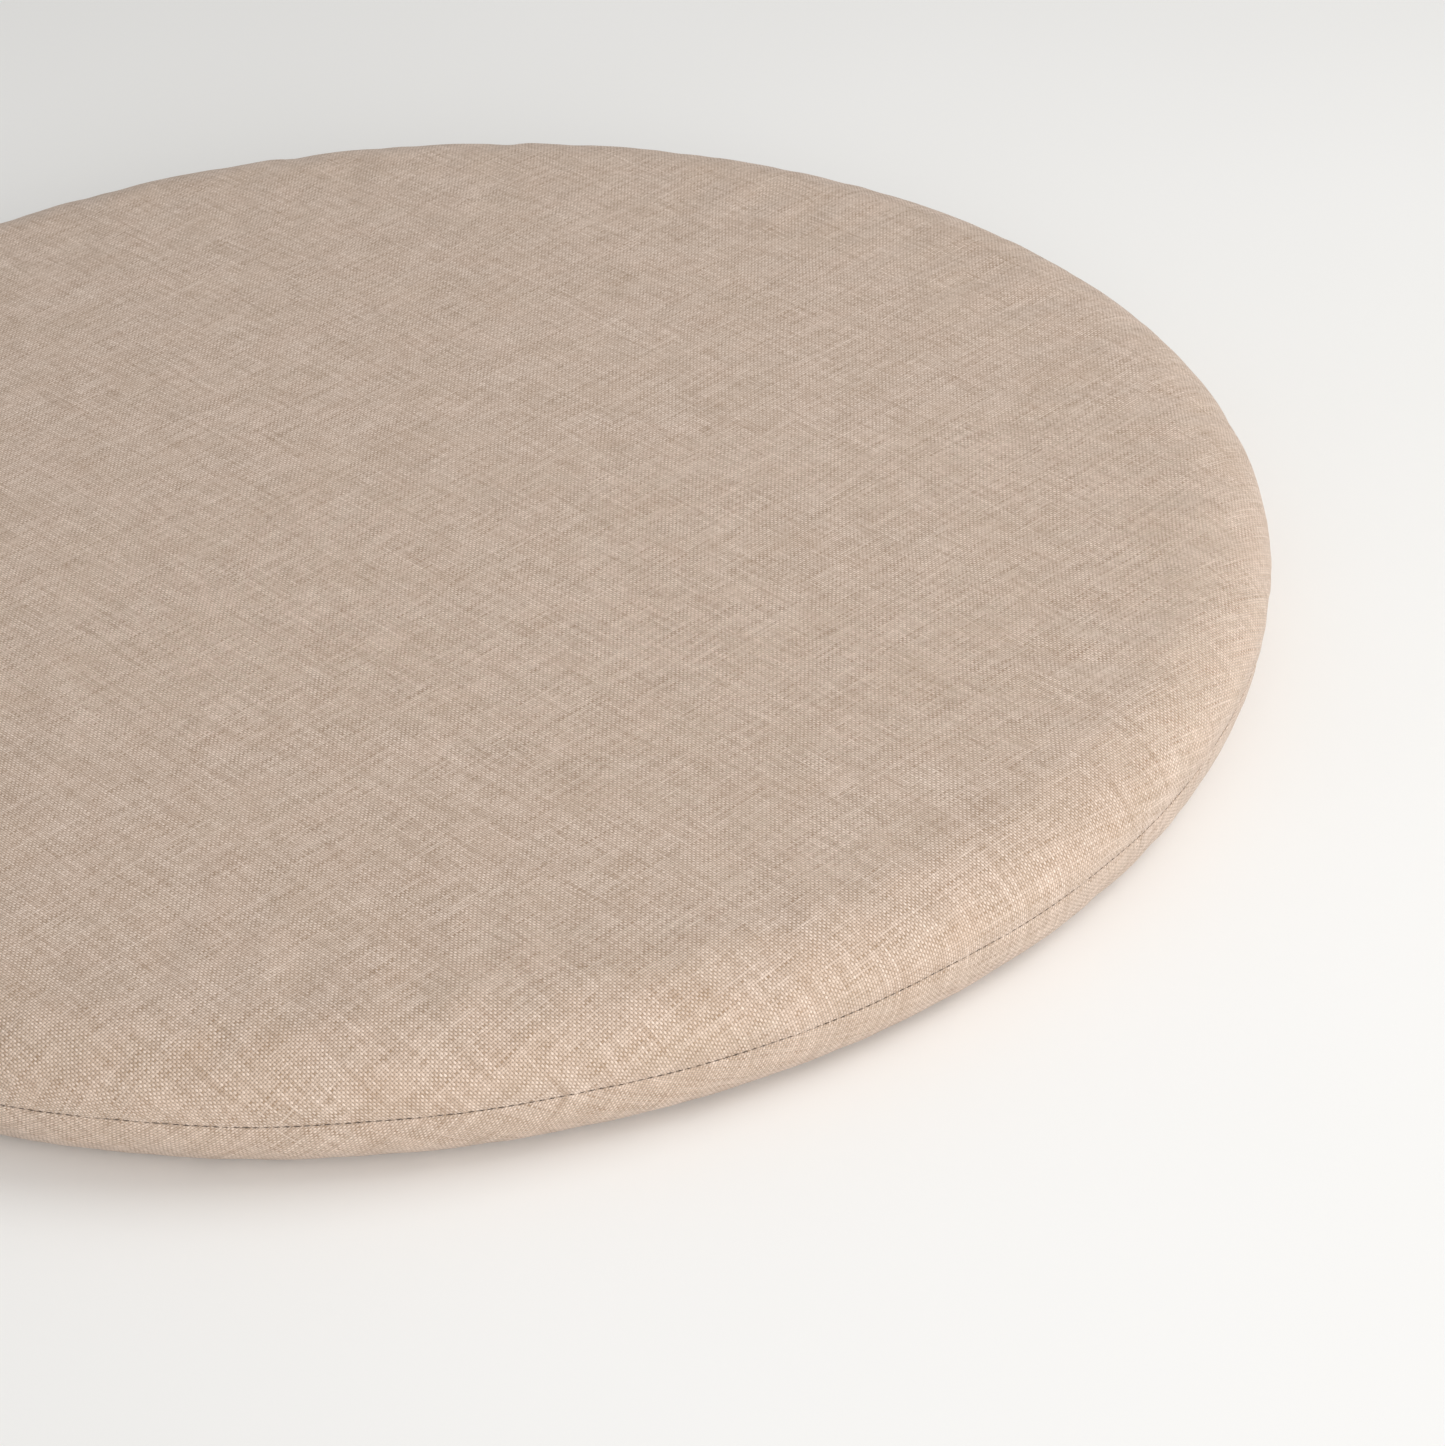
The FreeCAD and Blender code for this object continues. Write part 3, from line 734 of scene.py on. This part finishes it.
def linen(name):
    """Plain weave of melange yarns: crossing threads, slubs along them, and soft patches of tone."""
    s = Shader(name, 0.88, Sheen_Weight=0.2, Sheen_Roughness=0.5, Specular_IOR_Level=0.3)
    place = s.attribute("cloth_place", "Vector")
    x, y, _ = s.split(place)
    wander = s.spread(s.noise(place, 14.0, 1.0), 0.0, 1.0, -WANDER, WANDER)
    across, up = math.cos(WEAVE_TURN) / THREAD_PITCH, math.sin(WEAVE_TURN) / THREAD_PITCH
    warp = s.maths("ADD", s.maths("MULTIPLY", x, across), s.maths("MULTIPLY", y, up))
    weft = s.maths("SUBTRACT", s.maths("MULTIPLY", y, across), s.maths("MULTIPLY", x, up))
    warp = s.maths("ADD", warp, wander)
    weft = s.maths("SUBTRACT", weft, wander)
    warp_sine = s.maths("SINE", s.maths("MULTIPLY", warp, math.pi))
    weft_sine = s.maths("SINE", s.maths("MULTIPLY", weft, math.pi))

    def thread_height(sine, other_sine, crimp):
        """Height of one set of threads: round across, and rising and diving along its length."""
        rounding = s.maths("POWER", s.maths("ABSOLUTE", sine), 0.7)
        waving = s.maths("MULTIPLY", s.maths("SIGN", sine), other_sine)
        return s.maths("MULTIPLY_ADD", waving, crimp, rounding)

    warp_height = thread_height(warp_sine, weft_sine, CRIMP)
    weft_height = thread_height(weft_sine, warp_sine, -CRIMP)
    warp_on_top = s.maths("GREATER_THAN", warp_height, weft_height)
    height = s.maths("DIVIDE", s.maths("MAXIMUM", warp_height, weft_height), 1 + CRIMP)

    weft_number = s.maths("ADD", s.maths("FLOOR", weft), SECOND_SET)
    number = s.between(warp_on_top, weft_number, s.maths("FLOOR", warp))
    along = s.between(warp_on_top, warp, weft)
    beside = s.between(warp_on_top, weft, warp)
    slub = s.noise(s.vector(s.maths("MULTIPLY", number, 7.31), s.maths("MULTIPLY", along, 0.035)), 1.0)
    mottle = s.noise(s.vector(s.maths("MULTIPLY", number, 3.17), s.maths("MULTIPLY", along, 0.30), 4.0), 1.0)
    fibre = s.noise(s.vector(s.maths("MULTIPLY", beside, 9.0), s.maths("MULTIPLY", along, 1.1), 8.0), 1.0)
    tone = s.maths("ADD", s.maths("MULTIPLY", slub, 0.45), s.maths("MULTIPLY", mottle, 0.35))
    tone = s.maths("MULTIPLY_ADD", fibre, 0.20, tone)
    tone = s.maths("ADD", s.spread(tone, 0.30, 0.70), s.between(warp_on_top, -WARP_LIFT, WARP_LIFT))

    def streaks(side, length, seed):
        """Runs of two or three neighbouring threads that are a little lighter or darker."""
        where = s.vector(s.maths("MULTIPLY", side, 0.42), s.maths("MULTIPLY", length, 0.045), seed)
        return s.spread(s.noise(where, 1.0), 0.3, 0.7, -STREAK, STREAK)

    tone = s.maths("ADD", tone, s.maths("ADD", streaks(warp, weft, 20.0), streaks(weft, warp, 30.0)))

    base = s.blend(tone, YARN_DARK, YARN_LIGHT)
    rosy = s.spread(s.noise(place, 60.0, 3.0, 0.6), 0.38, 0.66, 0.0, ROSE_SHARE)
    base = s.blend(rosy, base, YARN_ROSE)
    elsewhere = s.add("ShaderNodeVectorMath", 0, {0: place, 1: (3.0, 1.0, 0.0)})
    tanned = s.spread(s.noise(elsewhere, 34.0, 3.0), 0.42, 0.66, 0.0, TAN_SHARE)
    base = s.blend(tanned, base, YARN_TAN)
    # Painted shade: the gaps between the threads are darkened in the colour, following the threads' height.
    gap_painted_shade = s.spread(height, 0.15, 0.9, GAP_PAINTED_SHADE, 1.0)
    # Painted shade: the colour is darkened in the crease along the seam and over the turned-in lips.
    crease_and_painted_shade = s.spread(s.attribute("crease_and_painted_shade", "Fac"), 0.0, 1.0, 1.0, CREASE_PAINTED_SHADE)
    shade = s.maths("MULTIPLY", gap_painted_shade, crease_and_painted_shade)
    base = s.blend(1.0, base, s.vector(shade, shade, shade), "MULTIPLY")
    relief = s.maths("MULTIPLY", height, s.spread(slub, 0.3, 0.7, 0.75, 1.15))
    return s.finish(base, relief, YARN_HEIGHT, 0.9)


def sewing_thread(name, tint):
    """Two-ply thread with a soft shine."""
    s = Shader(name, 0.6, Sheen_Weight=0.3, Specular_IOR_Level=0.4)
    twist = s.add("ShaderNodeTexWave", 1, {"Vector": s.place(), "Scale": 900.0, "Distortion": 1.5})
    fibre = s.noise(s.place(), 2500.0, 2.0)
    base = s.blend(s.spread(fibre, 0.3, 0.7), tint, tuple(0.82 * part for part in tint[:3]) + (1.0,))
    return s.finish(base, twist, 0.1 * MM, 0.6)


def round_the_rim(s):
    """Distance round the rim, and height, of a point on a piece that follows it."""
    x, y, z = s.split(s.place())
    return s.maths("MULTIPLY", s.maths("ARCTAN2", y, x), RADIUS), z


def woven_tape(name):
    """Close ribs across a narrow tape, in the herringbone of zip tapes."""
    s = Shader(name, 0.8, Sheen_Weight=0.2)
    along, height = round_the_rim(s)
    slant = s.maths("PINGPONG", height, 1.2 * MM)
    rib = s.maths("SINE", s.maths("MULTIPLY", s.maths("ADD", along, slant), TAU / (0.7 * MM)))
    base = s.blend(s.spread(rib, -1.0, 1.0), colour(176, 152, 130), colour(203, 183, 163))
    return s.finish(base, rib, 0.15 * MM, 0.7)


def nylon(name):
    """Smooth, slightly cloudy nylon."""
    s = Shader(name, 0.38, Specular_IOR_Level=0.5, Coat_Weight=0.1)
    cloudy = s.noise(s.place(), 700.0, 2.0)
    base = s.blend(s.spread(cloudy, 0.3, 0.7), colour(188, 166, 143), colour(205, 185, 163))
    return s.finish(base, s.noise(s.place(), 3000.0, 1.0), 0.03 * MM, 0.3)


def nickel(name):
    """Tumbled nickel plate, its edges worn round."""
    s = Shader(name, 0.28, Metallic=1.0)
    grain = s.noise(s.place(), 420.0, 3.0)
    roughness = s.spread(grain, 0.3, 0.7, 0.24, 0.36)
    base = s.blend(s.spread(grain, 0.35, 0.75), colour(150, 146, 140), colour(172, 168, 161))
    worn = s.add("ShaderNodeBevel", 0, {"Radius": 0.22 * MM}, samples=6)
    s.feed(s.surface.inputs["Normal"], worn)
    return s.finish(base, roughness=roughness)


def satin_label(name):
    """Fine ribs across a pale satin ribbon."""
    s = Shader(name, 0.45, Sheen_Weight=0.3)
    along, height = round_the_rim(s)
    rib = s.maths("SINE", s.maths("MULTIPLY", along, TAU / (0.35 * MM)))
    base = s.blend(s.spread(rib, -1.0, 1.0), colour(208, 202, 190), colour(226, 221, 211))
    return s.finish(base, rib, 0.05 * MM, 0.5)


def bonded_liner(name):
    """White non-woven, with the small dimples that bond its fibres."""
    s = Shader(name, 0.8)
    cells = s.add("ShaderNodeTexVoronoi", "Distance", {"Vector": s.place(), "Scale": 600.0}, feature="F1")
    fibres = s.noise(s.place(), 900.0, 4.0, 0.7)
    base = s.blend(s.spread(fibres, 0.3, 0.7), colour(226, 223, 215), colour(243, 241, 236))
    return s.finish(base, cells, 0.15 * MM, 0.6)


def wadding(name):
    """Fluffy polyester fibres."""
    s = Shader(name, 0.95, Sheen_Weight=0.5)
    fibres = s.noise(s.place(), 400.0, 6.0, 0.75)
    base = s.blend(s.spread(fibres, 0.3, 0.7), colour(228, 228, 226), colour(246, 246, 245))
    return s.finish(base, fibres, 0.8 * MM, 0.9)


def open_foam(name):
    """Cream foam with open cells."""
    s = Shader(name, 0.9)
    inputs = {"Vector": s.place(), "Scale": 650.0}
    cells = s.add("ShaderNodeTexVoronoi", "Distance", inputs, feature="DISTANCE_TO_EDGE")
    base = s.blend(s.spread(cells, 0.0, 0.4), colour(244, 235, 206), colour(222, 209, 174))
    return s.finish(base, cells, 0.5 * MM, 0.8)


def floor_finish(name):
    """Pale matt floor with the faintest mottling."""
    s = Shader(name, 0.75, Specular_IOR_Level=0.2)
    cloud = s.noise(s.place(), 1.3, 3.0)
    base = s.blend(s.spread(cloud, 0.3, 0.7), colour(236, 235, 232), colour(241, 240, 238))
    return s.finish(base)


def finish_with(obj, material):
    """Gives a made piece or a CAD node's own slots the material."""
    if not obj.data.materials:
        obj.data.materials.append(material)
    for index in range(len(obj.material_slots)):
        obj.material_slots[index].material = material


# ---------------------------------------------------------------- building

swell = Swell(*swollen_cover())

cover_cloth = linen("cover_linen")
thread = sewing_thread("beige_thread", colour(182, 155, 130))

coil = nylon("nylon_coil")
tape = woven_tape("zip_tape_weave")
metal = nickel("zip_nickel")
liner = bonded_liner("liner_bonded")
fluff = wadding("wadding_fluff")

cover_top = panel("cover_top", TOP, swell)
cover_bottom = panel("cover_bottom", BOTTOM, swell)
made = [
    (cover_top, cover_cloth, "cover_fabric", "cover_top_panel"),
    (cover_bottom, cover_cloth, "cover_fabric", "cover_bottom_panel"),
    (seam_stitches(), thread, "sewing_thread", "side_seam_thread"),
    (topstitches("zip_topstitching_upper", TOP), thread, "sewing_thread", "zip_topstitch_upper"),
    (topstitches("zip_topstitching_lower", BOTTOM), thread, "sewing_thread", "zip_topstitch_lower"),
    (zip_row("zip_teeth_upper", "zip_coil_upper", 1), coil, "zip_nylon", "zip_coil_upper"),
    (zip_row("zip_teeth_lower", "zip_coil_lower", -1), coil, "zip_nylon", "zip_coil_lower"),
    (end_tack("zip_tack_right", "zip_end_tack_right"), thread, "sewing_thread", "zip_end_tack_right"),
    (end_tack("zip_tack_left", "zip_end_tack_left"), thread, "sewing_thread", "zip_end_tack_left"),
]
for obj, material, slot, node in made:
    finish_with(obj, material)
    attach(obj, "pad")
    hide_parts(node)

cad_finishes = {
    "zip_tape_upper": tape,
    "zip_tape_lower": tape,
    "zip_slider": metal,
    "zip_pull_tab": metal,
    "care_label": satin_label("label_satin_weave"),
    "liner_top": liner,
    "liner_bottom": liner,
    "liner_seam_thread": thread,
    "wadding_top": fluff,
    "wadding_bottom": fluff,
    "foam_core": open_foam("foam_cells"),
}
for node, material in cad_finishes.items():
    finish_with(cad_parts[node], material)


# ---------------------------------------------------------------- floor, light and camera

LIGHT_SPREAD = math.radians(90)
ROOM_LIGHT = 0.55
FLOOR_HALF = 6.0
FLOOR_GAP = 0.4 * MM                # the floor lies this much under the pad


def floor():
    """A plain floor, which isn't part of the pad."""
    corners = [(FLOOR_HALF * x, FLOOR_HALF * y, 0) for x, y in ((-1, -1), (1, -1), (1, 1), (-1, 1))]
    made = mesh_object("studio_floor", corners, [(0, 1, 2, 3)])
    made.location.z = -FLOOR_GAP
    finish_with(made, floor_finish("floor_pale"))


def soft_box(name, place, size, power):
    """A rectangular light that faces the pad."""
    light = bpy.data.lights.new(name, "AREA")
    light.shape = "RECTANGLE"
    light.size, light.size_y = size
    light.energy = power
    light.spread = LIGHT_SPREAD
    made = bpy.data.objects.new(name, light)
    made.location = place
    made.rotation_euler = Vector(place).to_track_quat("Z", "Y").to_euler()
    bpy.context.scene.collection.objects.link(made)


def studio_light():
    """Soft light from the front and the right, and an even pale room."""
    soft_box("key", place=(0.9, -2.2, 0.85), size=(1.6, 1.2), power=9.4)
    soft_box("side", place=(1.5, 0.0, 1.3), size=(1.2, 1.2), power=5.0)
    world = bpy.data.worlds.new("studio")
    world.use_nodes = True
    background = world.node_tree.nodes["Background"]
    background.inputs["Color"].default_value = (1.0, 1.0, 1.0, 1.0)
    background.inputs["Strength"].default_value = ROOM_LIGHT
    bpy.context.scene.world = world
    bpy.context.scene.view_settings.view_transform = "Standard"


SENSOR = 36.0
FOCAL_LENGTH = 3.112                # in heights of the picture
CAMERA_PLACE = Vector((0.3715, -4.3731, 2.7513))    # in radii of the pad
CAMERA_PITCH = 0.5872               # down from level
CAMERA_ROLL = 0.0648
NEAREST = 0.05


def camera():
    """Looks down on the front of the pad from a little to its right, as the picture does."""
    data = bpy.data.cameras.new("camera")
    data.sensor_width = SENSOR
    data.lens = FOCAL_LENGTH * SENSOR
    data.clip_start = NEAREST
    made = bpy.data.objects.new("camera", data)
    made.location = CAMERA_PLACE * RADIUS
    looking = Matrix.Rotation(math.pi / 2 - CAMERA_PITCH, 3, "X") @ Matrix.Rotation(-CAMERA_ROLL, 3, "Z")
    made.rotation_euler = looking.to_euler()
    bpy.context.scene.collection.objects.link(made)
    bpy.context.scene.camera = made


floor()
studio_light()
camera()
